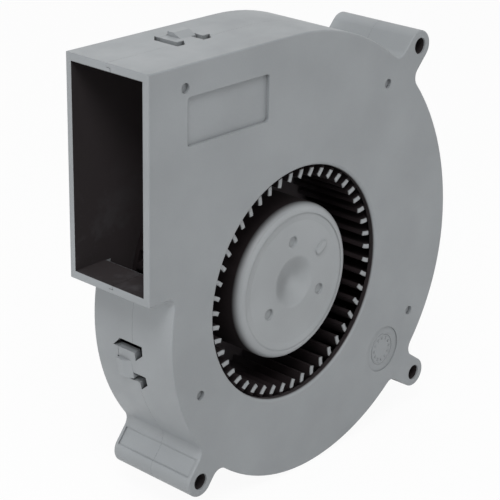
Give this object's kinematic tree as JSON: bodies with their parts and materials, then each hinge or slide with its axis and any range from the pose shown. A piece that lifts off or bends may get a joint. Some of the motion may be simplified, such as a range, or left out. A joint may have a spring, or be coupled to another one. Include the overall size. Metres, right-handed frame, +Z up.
{
  "type": "dc blower fan",
  "caption": "Centrifugal blower with a snapped two-part scroll housing, three mounting ears, a round inlet, a rectangular outlet and a forward-curved impeller on an outer-rotor motor.",
  "frame": {"origin": "where the rotor axis meets the flat rear mounting face", "axes": "+Y out of the rear face along the rotor axis, the inlet faces -Y, the outlet faces -X, +Z up as in the picture"},
  "size_m": [0.1175, 0.028, 0.1248],
  "materials": {
    "housing_plastic": "fine moulded grain, matte",
    "impeller_plastic": "smooth moulded, satin",
    "cap_plastic": "matte",
    "yoke_steel": "zinc plated",
    "magnet_rubber": "bonded ferrite strip, matte",
    "shaft_steel": "ground",
    "bush_brass": "turned",
    "bearing_steel": "polished",
    "cage_plastic": "natural",
    "core_steel": "stacked laminations",
    "insulator_plastic": "matte",
    "copper_winding": "enamelled copper wire, glossy",
    "board_laminate": "solder mask, glossy",
    "chip_resin": "matte",
    "ceramic_part": "ceramic",
    "tinned_pin": "tinned"
  },
  "bodies": {
    "housing": {"front_shell": "housing_plastic", "rear_shell": "housing_plastic", "rear_cap": "cap_plastic", "bearing_tube": "bush_brass", "front_bearing_outer_ring": "bearing_steel", "rear_bearing_outer_ring": "bearing_steel", "stator_core": "core_steel", "front_insulator": "insulator_plastic", "rear_insulator": "insulator_plastic", "stator_coils": "copper_winding", "circuit_board": "board_laminate", "hall_sensor": "chip_resin", "driver_chip": "chip_resin", "capacitors": "ceramic_part", "resistors": "chip_resin", "winding_pins": "tinned_pin"},
    "rotor": {"impeller": "impeller_plastic", "rotor_yoke": "yoke_steel", "rotor_magnet": "magnet_rubber", "shaft_bush": "bush_brass", "shaft": "shaft_steel", "thrust_washer": "cage_plastic", "retaining_ring": "shaft_steel", "preload_spring": "shaft_steel", "front_bearing_inner_ring": "bearing_steel", "rear_bearing_inner_ring": "bearing_steel"},
    "front_ball_set": {"front_bearing_balls": "bearing_steel", "front_bearing_cage": "cage_plastic"},
    "rear_ball_set": {"rear_bearing_balls": "bearing_steel", "rear_bearing_cage": "cage_plastic"}
  },
  "joints": [
    {"name": "impeller_spin", "type": "hinge", "parent": "housing", "child": "rotor", "pos_m": [0, -0.014, 0], "axis": [0, -1, 0], "continuous": true},
    {"name": "front_ball_orbit", "type": "hinge", "parent": "housing", "child": "front_ball_set", "pos_m": [0, -0.0188, 0], "axis": [0, -1, 0], "continuous": true},
    {"name": "rear_ball_orbit", "type": "hinge", "parent": "housing", "child": "rear_ball_set", "pos_m": [0, -0.0064, 0], "axis": [0, -1, 0], "continuous": true}
  ],
  "couplings": [
    {"joint": "front_ball_orbit", "follows": "impeller_spin", "ratio": 0.3564},
    {"joint": "rear_ball_orbit", "follows": "impeller_spin", "ratio": 0.3564}
  ]
}
